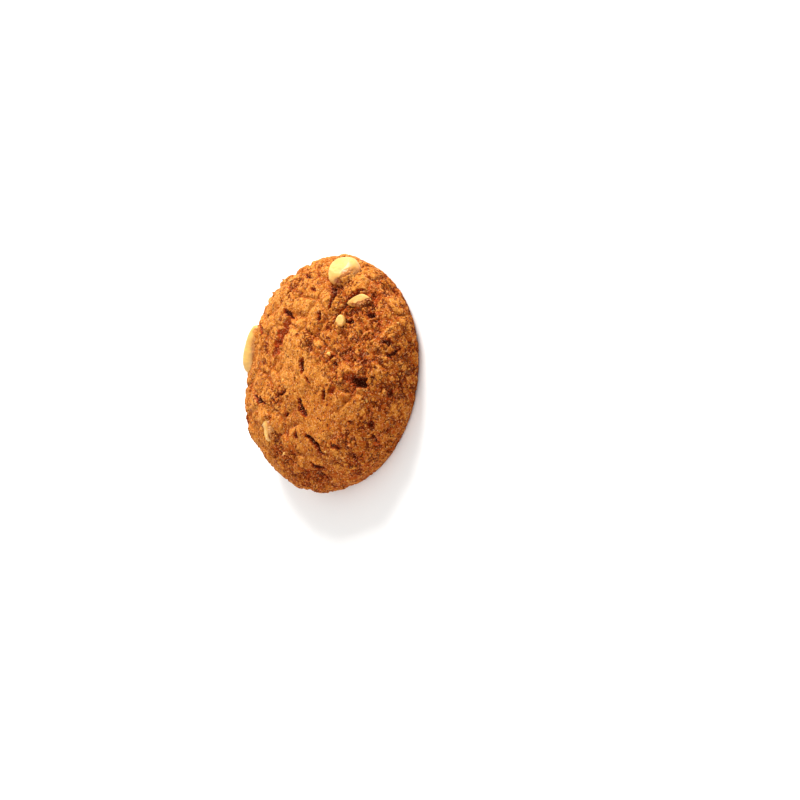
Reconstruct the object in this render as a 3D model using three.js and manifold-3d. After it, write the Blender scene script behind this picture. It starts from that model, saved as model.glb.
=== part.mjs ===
// A round nut biscuit: a scoop of crumbly dough baked on a flat tray, with broken cashews in it. It lies on
// its flat base, cracked dome up. Millimetres, +Z up, origin on the table under the middle of the base.
import * as THREE from "three";
import { mergeVertices } from "three/addons/utils/BufferGeometryUtils.js";
import Module from "manifold-3d";

const wasm = await Module();
wasm.setup();

// Driving dimensions, in millimetres.
const DIAMETER = 75; // across the widest ring
const CROWN = 20.5; // top of the plain dome above the table
const NOSE_SHARE = 0.3; // height of the widest ring, as a share of CROWN
const BASE_INSET = 2; // how far the flat base stops inside the widest ring
const DOME_POWER = 2.3; // 2 makes an elliptical dome, more makes a blunter one
const DOME_SHARE = 0.85; // of the section's run from crown to foot that is above the widest ring
const SOCKET_GAP = 0.3; // clearance round each piece of nut in the dough

// Relief of the crust. A size is a wavelength or the width of a cell, a height is the most it rises or sinks.
const SWELL = { size: 17, height: 0.75 };
const LUMP = { size: 8, height: 0.5 };
const PLATE = { size: 8.5, height: 0.35, seamDepth: 0.9, seamHalfWidth: 1 };
const KNOB = { size: 3.4, height: 0.55 };
const CREEP_WIDTH = 2.2; // of the band of dough that creeps up or sinks round each piece of nut
const SMOOTH_FOOT = 4; // the relief fades out over this height above the table
const SEAM_PATCH = 13; // seams open in patches about this wide

// Fineness of the dough's faces, from the crown down to the foot and on to the middle of the base.
const FACE_SIZE = { crown: 1.42, foot: 2.6, base: 9 };
const SECTION_STEP = 0.001;
const CRACK_STRIDE = 2.2;

// A crack's cutter starts this far above the crust, and its middle line strays this far to each side.
const CRACK_PROUD = 1.6;
const CRACK_WANDER = 0.5;

// How much nuts and holes depart from an ellipsoid, as a share of their size.
const UNEVEN = { nut: 0.1, hole: 0.3 };

// One number for each use of the noise, so that no two uses repeat each other.
const SEEDS = { swell: 1, lump: 2, wander: 5, plate: 11, patch: 21, knob: 31, uneven: 40, ringStart: 61 };
const LATTICE_PRIMES = [374761393, 668265263, 1274126177, 974634777];

const COLOURS = { crust: 0xc8793a, nut: 0xf0d392 };

// Cracks that show. Each row: x and y of its start, heading there in degrees, length, bend in degrees over
// that length, half its width, and depth at the middle.
const CRACKS = {
  besideTopNut: [27.2, -6.1, -98, 12.7, -132, 0.9, 2.2],
  aboveSlab: [21.2, -15.9, -38, 8.4, -10, 1, 2.6],
  shortReddish: [18.1, -6.3, -115, 5.5, -85, 0.8, 1.6],
  troughHook: [19, 10.7, -120, 8, 10, 0.8, 1.8],
  trough: [15.5, 5.2, 152, 15.5, 0, 2.7, 1.8],
  leftUpright: [4.7, -4.1, -170, 7.4, 9, 1.1, 2.3],
  leftTail: [-1.8, -6, -115, 6, 10, 0.5, 1],
  middleShort: [2.7, -14.2, -50, 4.4, 0, 0.8, 1.6],
  pitTail: [-1, -30, -30, 4, -70, 0.5, 1.5],
  belowPit: [-8.5, -14.7, -12, 4.2, 0, 0.9, 1.8],
  leftBow: [-8.7, 23.3, -120, 13.5, 40, 0.7, 1.5],
  leftBowEnd: [-12, 9.5, -55, 10.5, -20, 0.55, 1.5],
  middleLow: [-8.1, -3.9, -155, 8.5, 30, 1, 2.3],
  lowUpright: [-18.5, -3.5, -165, 3.5, 0, 0.8, 1.5],
  longLow: [-18.6, -6.5, -125, 12, -5, 1, 2.4],
  lowFork: [-19.7, -18.3, -145, 5.5, 75, 0.6, 1.6],
  vRight: [17.5, -26.3, -15, 3, 0, 0.9, 1.7],
  besideBit: [17.6, -19, -135, 3.5, 0, 0.8, 1.8],
  rightUpper: [11.5, -31.8, -95, 3, 0, 1, 1.8],
  rightLong: [7, -32.5, -70, 5.5, 90, 0.7, 1.8],
  rightLow: [-15.6, -31.9, 175, 4, 0, 0.7, 1.4],
  topLeft: [31.2, 8.2, -110, 6, 0, 0.7, 1.4],
  topMiddle: [25.6, 1.1, -98, 4.5, 0, 0.7, 1.3],
  aboveStar: [-13.7, -23.7, -100, 3, 0, 0.5, 1.3],
  bottom: [-27.9, -7.9, -125, 8.5, 75, 0.6, 1.5],
  bottomRight: [-26.7, -18.3, -90, 4, 0, 0.55, 1.3],
  backHigh: [6, 21, 20, 12, 50, 0.9, 1.8],
  backLow: [-15, 27, 170, 11, 45, 0.9, 1.8],
  backShort: [20, 24, 100, 7, -40, 0.8, 1.5],
};

// Deep holes. Each row: x and y, heading in degrees, half length, half width and depth.
const PITS = {
  darkPit: [-1.5, -28, -90, 2.8, 1.8, 4.4],
  darkPitShelf: [-0.5, -25, -90, 2.6, 1.5, 1.7],
  starPit: [-13.9, -31.5, -20, 1.5, 1.2, 2.2],
  lowRightPit: [-15.2, -34.6, -80, 1.4, 1, 1.8],
  rightPit: [-3.5, -36, -60, 1.4, 1.1, 1.8],
  middlePit: [-5.2, -18.1, -90, 1.6, 1.3, 1.6],
};

// Broken cashews. at: x and y; sink: how far the middle lies below the plain dome; heading and tilt in
// degrees; half: half of length, width and thickness; breaks: flat faces, each as the way it faces, then how
// far out it lies as a share of the half size; creep: how far the dough rises or sinks round the nut; detail:
// how finely its faces are cut.
const NUTS = {
  cashew_top: {
    at: [32.2, -9.8],
    sink: 0.9,
    heading: 55,
    tilt: 0,
    half: [5.9, 5.1, 3.5],
    breaks: [
      [0.1, 0.1, 1, 0.75],
      [-1, 0.3, 0.2, 0.8],
    ],
    creep: -0.4,
    detail: 3,
  },
  cashew_rim: {
    at: [5.2, 31.6],
    sink: 1.5,
    heading: 158,
    tilt: 0,
    half: [8.6, 3.9, 3.2],
    breaks: [[-1, 0, 0.1, 0.86]],
    creep: -0.5,
    detail: 3,
  },
  cashew_under_crust: {
    at: [-20.5, 12],
    sink: 1.3,
    heading: 15,
    tilt: -14,
    half: [4.2, 4, 2.6],
    breaks: [
      [0.3, 1, 0.1, 0.7],
      [0, 0, 1, 0.8],
    ],
    creep: 0.5,
    detail: 3,
  },
  cashew_slab: {
    at: [23.2, -21],
    sink: 0.6,
    heading: -76,
    tilt: 14,
    half: [4.2, 2, 1.7],
    breaks: [
      [-0.55, 0.85, 0.1, 0.5],
      [0.2, 0.1, 1, 0.7],
    ],
    creep: 0.3,
    detail: 2,
  },
  cashew_bit: {
    at: [16, -17.5],
    sink: 0.2,
    heading: -160,
    tilt: 0,
    half: [2.2, 1.5, 1.5],
    breaks: [
      [0, 0.2, 1, 0.7],
      [1, 0, 0.2, 0.7],
    ],
    creep: 0.1,
    detail: 2,
  },
  cashew_back: {
    at: [-21.5, 29.5],
    sink: 1.2,
    heading: 35,
    tilt: 8,
    half: [5.4, 3.6, 2.9],
    breaks: [
      [0.1, -0.3, 1, 0.7],
      [1, 0.2, 0, 0.75],
    ],
    creep: 0.4,
    detail: 3,
  },
};

const RADIUS = DIAMETER / 2;
const NOSE = NOSE_SHARE * CROWN;
const { degToRad, lerp, smoothstep } = THREE.MathUtils;

// A repeatable number from 0 to 1 for each point of the whole-number lattice.
function lattice(i, j, k, seed) {
  const mixed = [i, j, k, seed].reduce((sum, n, axis) => sum + Math.imul(n, LATTICE_PRIMES[axis]), 0);
  let h = Math.imul(mixed ^ (mixed >>> 13), 1103515245);
  h = Math.imul(h ^ (h >>> 15), 668265263);
  return ((h ^ (h >>> 16)) >>> 0) / 2 ** 32;
}

// Smooth noise from -1 to 1 whose swells are one unit wide.
function noise(p, seed) {
  const [i, j, k] = p.toArray().map(Math.floor);
  const [u, v, w] = [p.x - i, p.y - j, p.z - k].map((t) => t * t * (3 - 2 * t));
  const corner = (a, b, c) => lattice(i + a, j + b, k + c, seed);
  const edge = (b, c) => lerp(corner(0, b, c), corner(1, b, c), u);
  const face = (c) => lerp(edge(0, c), edge(1, c), v);
  return 2 * lerp(face(0), face(1), w) - 1;
}

// Points are scattered one to each unit cell. Gives the distances from p to the nearest and the second
// nearest of them, and a repeatable number from 0 to 1 that belongs to the nearest.
function cells(p, seed) {
  const home = p.toArray().map(Math.floor);
  let [near, next, tag] = [9, 9, 0];
  for (let n = 0; n < 27; n++) {
    const [i, j, k] = home.map((whole, axis) => whole - 1 + (Math.floor(n / 3 ** axis) % 3));
    const spot = [i, j, k].map((whole, axis) => whole + lattice(i, j, k, seed + axis));
    const away = Math.hypot(spot[0] - p.x, spot[1] - p.y, spot[2] - p.z);
    if (away < near) [near, next, tag] = [away, near, lattice(i, j, k, seed + 3)];
    else if (away < next) next = away;
  }
  return { near, next, tag };
}

// The point of the plain dome over x, y and the way out of it.
function domeAt(x, y) {
  const share = Math.min(Math.hypot(x, y) / RADIUS, 0.999);
  const rise = 1 - share ** DOME_POWER;
  const away = Math.atan2(y, x);
  const level = share ** (DOME_POWER - 1) / RADIUS;
  const up = rise ** (1 - 1 / DOME_POWER) / (CROWN - NOSE);
  return {
    point: new THREE.Vector3(x, y, NOSE + (CROWN - NOSE) * rise ** (1 / DOME_POWER)),
    outward: new THREE.Vector3(Math.cos(away) * level, Math.sin(away) * level, up).normalize(),
  };
}

// The biscuit's section, from the crown round the nose to the edge of the base, t going from 0 to 1.
function sectionAt(t) {
  const onDome = t <= DOME_SHARE;
  const a = ((onDome ? t / DOME_SHARE : (t - DOME_SHARE) / (1 - DOME_SHARE)) * Math.PI) / 2;
  if (!onDome) return new THREE.Vector2(RADIUS - BASE_INSET * (1 - Math.cos(a)), NOSE * (1 - Math.sin(a)));
  const round = (value) => value ** (2 / DOME_POWER);
  return new THREE.Vector2(RADIUS * round(Math.sin(a)), NOSE + (CROWN - NOSE) * round(Math.cos(a)));
}

const scaled = (p, size) => p.clone().divideScalar(size);
const NUT_PLACES = Object.values(NUTS).map(({ at, half, creep }) => ({
  middle: domeAt(...at).point,
  reach: (half[0] + half[1]) / 2,
  creep,
}));

// How far the crust stands out of the plain form at a point of it.
function relief(p) {
  const plate = cells(scaled(p, PLATE.size), SEEDS.plate);
  const acrossSeam = ((plate.next - plate.near) * PLATE.size) / PLATE.seamHalfWidth;
  const openness = smoothstep(noise(scaled(p, SEAM_PATCH), SEEDS.patch), -0.5, 0.3);
  const seam = openness * Math.exp(-(acrossSeam ** 2));
  const creeps = NUT_PLACES.map(
    ({ middle, reach, creep }) => creep * Math.exp(-(((p.distanceTo(middle) - reach) / CREEP_WIDTH) ** 2)),
  );
  const height =
    SWELL.height * noise(scaled(p, SWELL.size), SEEDS.swell) +
    LUMP.height * noise(scaled(p, LUMP.size), SEEDS.lump) +
    PLATE.height * (2 * plate.tag - 1) * (1 - Math.exp(-(acrossSeam ** 2) / 4)) -
    PLATE.seamDepth * seam +
    KNOB.height * (0.5 - cells(scaled(p, KNOB.size), SEEDS.knob).near) +
    creeps.reduce((sum, creep) => sum + creep);
  return height * smoothstep(p.z, 0, SMOOTH_FOOT);
}

// A geodesic ball with its corners merged, as the start of each rounded solid.
function geodesicBall(detail) {
  const ball = new THREE.IcosahedronGeometry(1, detail);
  return mergeVertices(ball.deleteAttribute("normal").deleteAttribute("uv"), 1e-5);
}

// Moves each corner of a geometry to where the function puts it.
function reshape(geometry, move) {
  const corners = geometry.getAttribute("position");
  const p = new THREE.Vector3();
  for (let i = 0; i < corners.count; i++) {
    move(p.fromBufferAttribute(corners, i));
    corners.setXYZ(i, p.x, p.y, p.z);
  }
  return geometry;
}

// Joins two rings of corners, given by their numbers, with a band of faces. A ring of one corner is a tip.
function band(upper, lower) {
  const faces = [];
  let [i, j] = [0, 0];
  const [n, m] = [upper.length, lower.length];
  while (i < n || j < m) {
    const [top, bottom] = [upper[i % n], lower[j % m]];
    const goUp = j === m || (i < n && (i + 1) / n < (j + 1) / m);
    if (goUp && n > 1) faces.push([top, bottom, upper[(i + 1) % n]]);
    if (!goUp && m > 1) faces.push([top, bottom, lower[(j + 1) % m]]);
    if (goUp) i++;
    else j++;
  }
  return faces;
}

// The dough before anything is cut from it: rings of corners down the section and in to the middle of the
// base, each as evenly spaced as the rings are apart, pushed out of the plain form by the relief.
function wholeDough() {
  const corners = [];
  const rings = [];
  const addRing = (r, z, size, out) => {
    const count = Math.max(1, Math.round((2 * Math.PI * r) / size));
    const first = lattice(rings.length, 0, 0, SEEDS.ringStart);
    const ring = Array.from({ length: count }, (_, i) => {
      const away = ((i + first) / count) * 2 * Math.PI;
      const turned = (v) => new THREE.Vector3(v.x * Math.cos(away), v.x * Math.sin(away), v.y);
      const corner = turned(new THREE.Vector2(r, z));
      if (out) corner.addScaledVector(turned(out), relief(corner));
      return corners.push(corner.setZ(Math.max(corner.z, 0))) - 1;
    });
    rings.push(ring);
  };
  let here = sectionAt(0);
  addRing(0, here.y, FACE_SIZE.crown, new THREE.Vector2(0, 1));
  for (let t = SECTION_STEP; t < 1; t += SECTION_STEP) {
    const spot = sectionAt(t);
    const size = lerp(FACE_SIZE.foot, FACE_SIZE.crown, smoothstep(spot.y, 0, 2 * NOSE));
    if (spot.distanceTo(here) < (size * Math.sqrt(3)) / 2) continue;
    const along = sectionAt(t + SECTION_STEP).sub(spot).normalize();
    addRing(spot.x, spot.y, size, new THREE.Vector2(-along.y, along.x));
    here = spot;
  }
  const edge = RADIUS - BASE_INSET;
  for (let r = edge; r > 0; r -= FACE_SIZE.base) {
    addRing(r, 0, lerp(FACE_SIZE.base, FACE_SIZE.foot, r / edge));
  }
  addRing(0, 0, FACE_SIZE.base);
  return closedGeometry(corners, rings.slice(1).flatMap((ring, i) => band(rings[i], ring)));
}

// A V-shaped groove along an uneven arc, pointed at both ends. It starts above the crust so as to cut it.
function crackCutter([x0, y0, heading, length, bend, halfWidth, depth], seed) {
  const steps = Math.max(3, Math.round(length / CRACK_STRIDE));
  const corners = [];
  let [x, y] = [x0, y0];
  for (let i = 0; i <= steps; i++) {
    const t = i / steps;
    const turn = degToRad(heading + bend * t);
    const { point, outward } = domeAt(x, y);
    const across = new THREE.Vector3(Math.cos(turn), Math.sin(turn), 0).cross(outward).normalize();
    point.addScaledVector(across, CRACK_WANDER * (2 * lattice(i, seed, 0, SEEDS.wander) - 1));
    const fullness = Math.sin(Math.PI * t) ** 0.6 * lerp(0.7, 1.2, lattice(i, seed, 1, SEEDS.wander));
    const half = halfWidth * (1 + CRACK_PROUD / depth) * fullness;
    const top = point.clone().addScaledVector(outward, CRACK_PROUD);
    if (i === 0 || i === steps) corners.push(point.addScaledVector(outward, CRACK_PROUD / 2));
    else {
      const sides = [half, -half].map((reach) => top.clone().addScaledVector(across, reach));
      corners.push(...sides, point.addScaledVector(outward, -depth * fullness));
    }
    x += (length / steps) * Math.cos(turn);
    y += (length / steps) * Math.sin(turn);
  }
  const last = corners.length - 1;
  const faces = [];
  for (let side = 0; side < 3; side++) {
    const next = (side + 1) % 3;
    faces.push([0, 1 + side, 1 + next], [last, last - 3 + next, last - 3 + side]);
    for (let i = 1; i < last - 3; i += 3) {
      faces.push([i + side, i + 3 + side, i + next], [i + next, i + 3 + side, i + 3 + next]);
    }
  }
  return closedGeometry(corners, faces);
}

// A geometry from corners and faces, turned over where its faces point in.
function closedGeometry(corners, faces) {
  const wedge = ([a, b, c]) => corners[a].dot(corners[b].clone().cross(corners[c])) / 6;
  const volume = faces.reduce((sum, face) => sum + wedge(face), 0);
  const index = faces.map(([a, b, c]) => (volume < 0 ? [a, c, b] : [a, b, c]));
  return new THREE.BufferGeometry().setFromPoints(corners).setIndex(index.flat());
}

// A rounded lump lying in the dome, uneven by a share of its size, grown all round by gap.
function lump({ at, sink, heading, tilt, half, breaks, detail }, uneven, gap, seed) {
  const size = new THREE.Vector3(...half);
  const flats = breaks.map(([x, y, z, share]) => {
    const way = new THREE.Vector3(x, y, z).normalize();
    return { way, stop: way.clone().multiply(size).length() * share + gap };
  });
  const geometry = reshape(geodesicBall(detail), (p) => {
    const out = p.clone();
    const grow = 1 + uneven * noise(p.clone().multiplyScalar(1.3).addScalar(7 * seed), SEEDS.uneven);
    p.multiply(size).multiplyScalar(grow).addScaledVector(out, gap);
    flats.forEach(({ way, stop }) => p.addScaledVector(way, -0.92 * Math.max(p.dot(way) - stop, 0)));
  });
  const { point, outward } = domeAt(...at);
  const ahead = new THREE.Vector3(Math.cos(degToRad(heading)), Math.sin(degToRad(heading)), 0);
  const side = outward.clone().cross(ahead).normalize();
  const place = new THREE.Matrix4().makeBasis(side.clone().cross(outward), side, outward);
  place.setPosition(point.addScaledVector(outward, -sink));
  return geometry.applyMatrix4(new THREE.Matrix4().makeRotationX(degToRad(tilt))).applyMatrix4(place);
}

function nut(entry, gap, seed) {
  return lump(entry, UNEVEN.nut, gap, seed);
}

function pitCutter([x, y, heading, halfLength, halfWidth, depth], seed) {
  const half = [halfLength, halfWidth, depth];
  return lump({ at: [x, y], sink: 0, heading, tilt: 0, half, breaks: [], detail: 2 }, UNEVEN.hole, 0, seed);
}

function solid(geometry) {
  return new wasm.Manifold(
    new wasm.Mesh({
      numProp: 3,
      vertProperties: new Float32Array(geometry.getAttribute("position").array),
      triVerts: new Uint32Array(geometry.index.array),
    }),
  );
}

// The dough with its cracks, holes and nut sockets cut. Crumbs that the cuts leave loose are dropped.
function cutDough() {
  const cutters = [
    ...Object.values(CRACKS).map(crackCutter),
    ...Object.values(PITS).map(pitCutter),
    ...Object.values(NUTS).map((entry, seed) => nut(entry, SOCKET_GAP, seed)),
  ];
  const cut = cutters.map(solid).reduce((all, cutter) => all.add(cutter));
  const [largest] = solid(wholeDough()).subtract(cut).decompose().sort((a, b) => b.volume() - a.volume());
  const { vertProperties, triVerts } = largest.getMesh();
  const geometry = new THREE.BufferGeometry();
  geometry.setAttribute("position", new THREE.BufferAttribute(vertProperties, 3));
  return geometry.setIndex(new THREE.BufferAttribute(triVerts, 1));
}

function piece(name, geometry, color, roughness) {
  const faceted = geometry.toNonIndexed();
  faceted.computeVertexNormals();
  const mesh = new THREE.Mesh(faceted, new THREE.MeshStandardMaterial({ color, roughness, metalness: 0 }));
  mesh.name = name;
  return mesh;
}

const biscuit = new THREE.Group();
biscuit.add(piece("dough", cutDough(), COLOURS.crust, 0.9));
Object.entries(NUTS).forEach(([name, entry], seed) => {
  biscuit.add(piece(name, nut(entry, 0, seed), COLOURS.nut, 0.6));
});

export default biscuit;
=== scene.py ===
import itertools
import math

import bmesh
import bpy
import numpy as np
from mathutils import Matrix, Vector


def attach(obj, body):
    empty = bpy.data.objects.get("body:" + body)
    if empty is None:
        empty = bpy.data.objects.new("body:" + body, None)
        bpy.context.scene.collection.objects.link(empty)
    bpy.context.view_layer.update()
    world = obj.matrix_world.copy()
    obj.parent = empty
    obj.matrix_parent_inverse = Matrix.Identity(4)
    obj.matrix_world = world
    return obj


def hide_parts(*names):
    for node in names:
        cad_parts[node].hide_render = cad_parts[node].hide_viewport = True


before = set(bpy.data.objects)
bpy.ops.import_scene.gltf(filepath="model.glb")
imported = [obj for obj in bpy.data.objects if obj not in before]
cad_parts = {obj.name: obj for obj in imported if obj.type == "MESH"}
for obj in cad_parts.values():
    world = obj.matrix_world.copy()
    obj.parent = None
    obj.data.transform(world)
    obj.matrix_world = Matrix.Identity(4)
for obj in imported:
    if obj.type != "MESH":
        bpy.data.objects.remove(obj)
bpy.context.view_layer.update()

bl_info = {
    "name": "Nut Biscuit",
    "version": (1, 0, 0),
    "blender": (4, 5, 0),
    "location": "View3D > Sidebar > Biscuit",
    "description": "Builds a cracked, crumbly nut biscuit in millimetre detail, with its studio",
    "category": "Add Mesh",
}

MM = 0.001

# The plain form of the dough, in millimetres or as shares.
SMOOTH_FOOT = 4  # the relief fades out over this height above the table
DOME_SHARE = 0.85  # of the section's run that is above the widest ring

# The low relief, as the solid has it. Sizes are wavelengths or cell widths, heights are the most it rises.
SWELL = {"size": 17, "height": 0.75}
LUMP = {"size": 8, "height": 0.5}
PLATE = {"size": 8.5, "height": 0.35, "seam_depth": 0.9, "seam_half_width": 1}
KNOB = {"size": 3.4, "height": 0.55}
CREEP_WIDTH = 2.2
SEAM_PATCH = 13

# One number for each use of the noise, so that no two uses repeat each other. rough_patch isn't just any: it
# was picked out of many so that the open patches fall about where the photograph's darker ones do.
SEEDS = {"swell": 1, "lump": 2, "wander": 5, "plate": 11, "patch": 21, "knob": 31, "uneven": 40}
SEEDS |= {"ring_start": 61, "warp": 70, "clump": 81, "crumb": 91, "grit": 101, "pore": 121}
SEEDS |= {"base_pore": 131, "rough_patch": 1229, "nut_skin": 161, "stuck_crumb": 171, "crack_width": 181}
LATTICE_PRIMES = (374761393, 668265263, 1274126177, 974634777)

# The crumb of the crust, coarse to fine. Each row: size over the crumb size, how high its lumps stand and how
# deep the crevices between them are over the crumb height, half width of a crevice in millimetres, and the
# share of the crevices that stay open.
CRUMBS = {
    "clump": (2.3, 0.2, 0.9, 0.28, 0.3),
    "crumb": (1, 0.5, 1.1, 0.22, 0.42),
    "grit": (0.55, 0.4, 0.5, 0.17, 0.5),
}
# Pores lie at most one to a cell of this size, and only in this share of the cells.
PORES = {"size": 2.3, "share": 0.3, "radius": 0.45, "depth": 0.8}
# The crumb is open in patches about this wide, and smoother between them: its height is least there, and most
# in the open ones. For each millimetre toward -Y it is more open by the last number.
ROUGH = {"size": 9, "least": 0.6, "most": 1.3, "toward_front": 0.018}

# Cracks that show. Each row: x and y of its start, heading there in degrees, length, bend in degrees over
# that length, half its width, and depth at the middle.
CRACKS = {
    "beside_top_nut": (27.2, -6.1, -98, 12.7, -132, 0.9, 2.2),
    "above_slab": (21.2, -15.9, -38, 8.4, -10, 1, 2.6),
    "short_reddish": (18.1, -6.3, -115, 5.5, -85, 0.8, 1.6),
    "trough_hook": (19, 10.7, -120, 8, 10, 0.8, 1.8),
    "trough": (15.5, 5.2, 152, 15.5, 0, 2.7, 1.8),
    "left_upright": (4.7, -4.1, -170, 7.4, 9, 1.1, 2.3),
    "left_tail": (-1.8, -6, -115, 6, 10, 0.5, 1),
    "middle_short": (2.7, -14.2, -50, 4.4, 0, 0.8, 1.6),
    "pit_tail": (-1, -30, -30, 4, -70, 0.5, 1.5),
    "below_pit": (-8.5, -14.7, -12, 4.2, 0, 0.9, 1.8),
    "left_bow": (-8.7, 23.3, -120, 13.5, 40, 0.7, 1.5),
    "left_bow_end": (-12, 9.5, -55, 10.5, -20, 0.55, 1.5),
    "middle_low": (-8.1, -3.9, -155, 8.5, 30, 1, 2.3),
    "low_upright": (-18.5, -3.5, -165, 3.5, 0, 0.8, 1.5),
    "long_low": (-18.6, -6.5, -125, 12, -5, 1, 2.4),
    "low_fork": (-19.7, -18.3, -145, 5.5, 75, 0.6, 1.6),
    "v_right": (17.5, -26.3, -15, 3, 0, 0.9, 1.7),
    "beside_bit": (17.6, -19, -135, 3.5, 0, 0.8, 1.8),
    "right_upper": (11.5, -31.8, -95, 3, 0, 1, 1.8),
    "right_long": (7, -32.5, -70, 5.5, 90, 0.7, 1.8),
    "right_low": (-15.6, -31.9, 175, 4, 0, 0.7, 1.4),
    "top_left": (31.2, 8.2, -110, 6, 0, 0.7, 1.4),
    "top_middle": (25.6, 1.1, -98, 4.5, 0, 0.7, 1.3),
    "above_star": (-13.7, -23.7, -100, 3, 0, 0.5, 1.3),
    "bottom": (-27.9, -7.9, -125, 8.5, 75, 0.6, 1.5),
    "bottom_right": (-26.7, -18.3, -90, 4, 0, 0.55, 1.3),
    "back_high": (6, 21, 20, 12, 50, 0.9, 1.8),
    "back_low": (-15, 27, 170, 11, 45, 0.9, 1.8),
    "back_short": (20, 24, 100, 7, -40, 0.8, 1.5),
}
# Cracks too fine for the solid, in the same way.
HAIR_CRACKS = {
    "low_fork_back": (-23.3, -17.2, -65, 6, 0, 0.6, 1.1),
    "low_thin": (-21.5, -24, -150, 7, -60, 0.5, 0.9),
    "right_branch": (8.8, -34.6, -160, 2.7, 0, 0.6, 1.1),
    "rim_left": (27.5, 12, 155, 3.5, 0, 0.45, 0.8),
    "middle_slit": (4.1, -17.8, -140, 1.8, 0, 0.5, 1),
    "low_left_dot": (-14.2, 0.5, 130, 2.4, 0, 0.5, 1),
    "bottom_up": (-30.5, -13, 170, 2.4, 0, 0.5, 0.9),
}
CRACK_STRIDE = 2.2
CRACK_WANDER = 0.5
# A crack's width swings over this size, from least by up to swing more, over what its row gives.
CRACK_WIDTH = {"size": 1.5, "least": 0.8, "swing": 0.6}
HOLLOW_CALM = 0.55  # share of the crumb's height that is lost in cracks and holes
# The lips of a crack: their height over how full it is, how far from its edge they stand, half their width.
LIP = {"height": 0.3, "away": 0.5, "half_width": 0.6}

# Edges are pushed about to fray them. Each pair: size of the pushes and how far they go.
CRACK_FRAYS = ((0.6, 0.2), (1.3, 0.5))
PIT_FRAY = (1.3, 0.45)
PORE_FRAY = (0.9, 0.3)
SEAM_FRAY = (1.1, 0.6)

# Deep holes. Each row: x and y, heading in degrees, half length, half width and depth.
PITS = {
    "dark_pit": (-1.5, -28, -90, 2.8, 1.8, 4.4),
    "dark_pit_shelf": (-0.5, -25, -90, 2.6, 1.5, 1.7),
    "star_pit": (-13.9, -31.5, -20, 1.5, 1.2, 2.2),
    "low_right_pit": (-15.2, -34.6, -80, 1.4, 1, 1.8),
    "right_pit": (-3.5, -36, -60, 1.4, 1.1, 1.8),
    "middle_pit": (-5.2, -18.1, -90, 1.6, 1.3, 1.6),
}

# Broken cashews. at is x and y, sink how far the middle lies below the plain dome, and half is half of the
# length, width and thickness. heading and tilt are in degrees. breaks are flat faces: the way each faces,
# then how far out it lies as a share of the half size. crusted is the way in plan that the crust laps over
# the nut, in degrees, how far from the nut's middle that begins, and how far before it the nut starts to
# brown. creep is how high the dough stands against the nut.
NUTS = {
    "cashew_top": {
        "at": (32.2, -9.8),
        "sink": 0.9,
        "heading": 55,
        "tilt": 0,
        "half": (5.9, 5.1, 3.5),
        "breaks": ((0.1, 0.1, 1, 0.75), (-1, 0.3, 0.2, 0.8)),
        "crusted": (-131, 3.9, 4.5),
        "creep": -0.4,
    },
    "cashew_rim": {
        "at": (5.2, 31.6),
        "sink": 1.5,
        "heading": 158,
        "tilt": 0,
        "half": (8.6, 3.9, 3.2),
        "breaks": ((-1, 0, 0.1, 0.86),),
        "crusted": (-90, 3.2, 1.2),
        "creep": -0.5,
    },
    "cashew_under_crust": {
        "at": (-20.5, 12),
        "sink": 1.3,
        "heading": 15,
        "tilt": -14,
        "half": (4.2, 4, 2.6),
        "breaks": ((0.3, 1, 0.1, 0.7), (0, 0, 1, 0.8)),
        "crusted": (-80, 2, 2.2),
        "creep": 0.5,
    },
    "cashew_slab": {
        "at": (23.2, -21),
        "sink": 0.6,
        "heading": -76,
        "tilt": 14,
        "half": (4.2, 2, 1.7),
        "breaks": ((-0.55, 0.85, 0.1, 0.5), (0.2, 0.1, 1, 0.7)),
        "crusted": (-150, 1.1, 1.6),
        "creep": 0.3,
    },
    "cashew_bit": {
        "at": (16, -17.5),
        "sink": 0.2,
        "heading": -160,
        "tilt": 0,
        "half": (2.2, 1.5, 1.5),
        "breaks": ((0, 0.2, 1, 0.7), (1, 0, 0.2, 0.7)),
        "crusted": (180, 1.2, 1.5),
        "creep": 0.1,
    },
    "cashew_back": {
        "at": (-21.5, 29.5),
        "sink": 1.2,
        "heading": 35,
        "tilt": 8,
        "half": (5.4, 3.6, 2.9),
        "breaks": ((0.1, -0.3, 1, 0.7), (1, 0.2, 0, 0.75)),
        "crusted": (-60, 2.5, 2.5),
        "creep": 0.4,
    },
}
NUT_UNEVEN = 0.1
# The skin of a nut. Each pair: size of its unevenness and how far that goes.
NUT_SKIN = {"waves": (1.8, 0.07), "grain": (0.6, 0.02), "broken": (0.8, 0.08)}
# The edge of the crust where it laps over a nut: how it strays and over what size, how long it takes to rise
# and how far it ends up above the nut.
LAP = {"stray": 0.6, "stray_size": 1.3, "run": 0.9, "above": 0.25}

# Pale specks of nut that show on the crust: x, y and size.
NUT_SPECKS = ((5.9, -15.2, 1.2), (-4, 3.6, 0.9), (-6.5, -30.1, 1.3), (17.5, -32.6, 0.9))
NUT_SPECKS += ((10.5, 12, 0.8), (-27, 3, 0.9), (2, 30, 0.9), (-24, -16, 0.8), (28, 14, 1))
# Half of a stuck crumb's size over the crumb size, least and most. Then how far out of the crust the middles
# of crumbs and specks are, over half of their size.
STUCK_REACH = (0.15, 0.36)
STUCK_RISE = 0.25
SPECK_RISE = -0.1

# The crust's tone is this where it is level, less where it is torn, as painted shade with redder dough, and
# more where it stands proud, as painted light.
LEVEL_TONE = 0.5
TONE_OF = {"dark_crack": -0.95, "crack": -0.1, "pit": -0.45, "seam": -0.15, "fine": 0.8, "low": 0.06}
LIT_SIDE_TONE_PER_MM = (0.002, 0.001, 0)  # painted light: the crust is lighter toward +X and +Y, the side the key lamp lights
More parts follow.
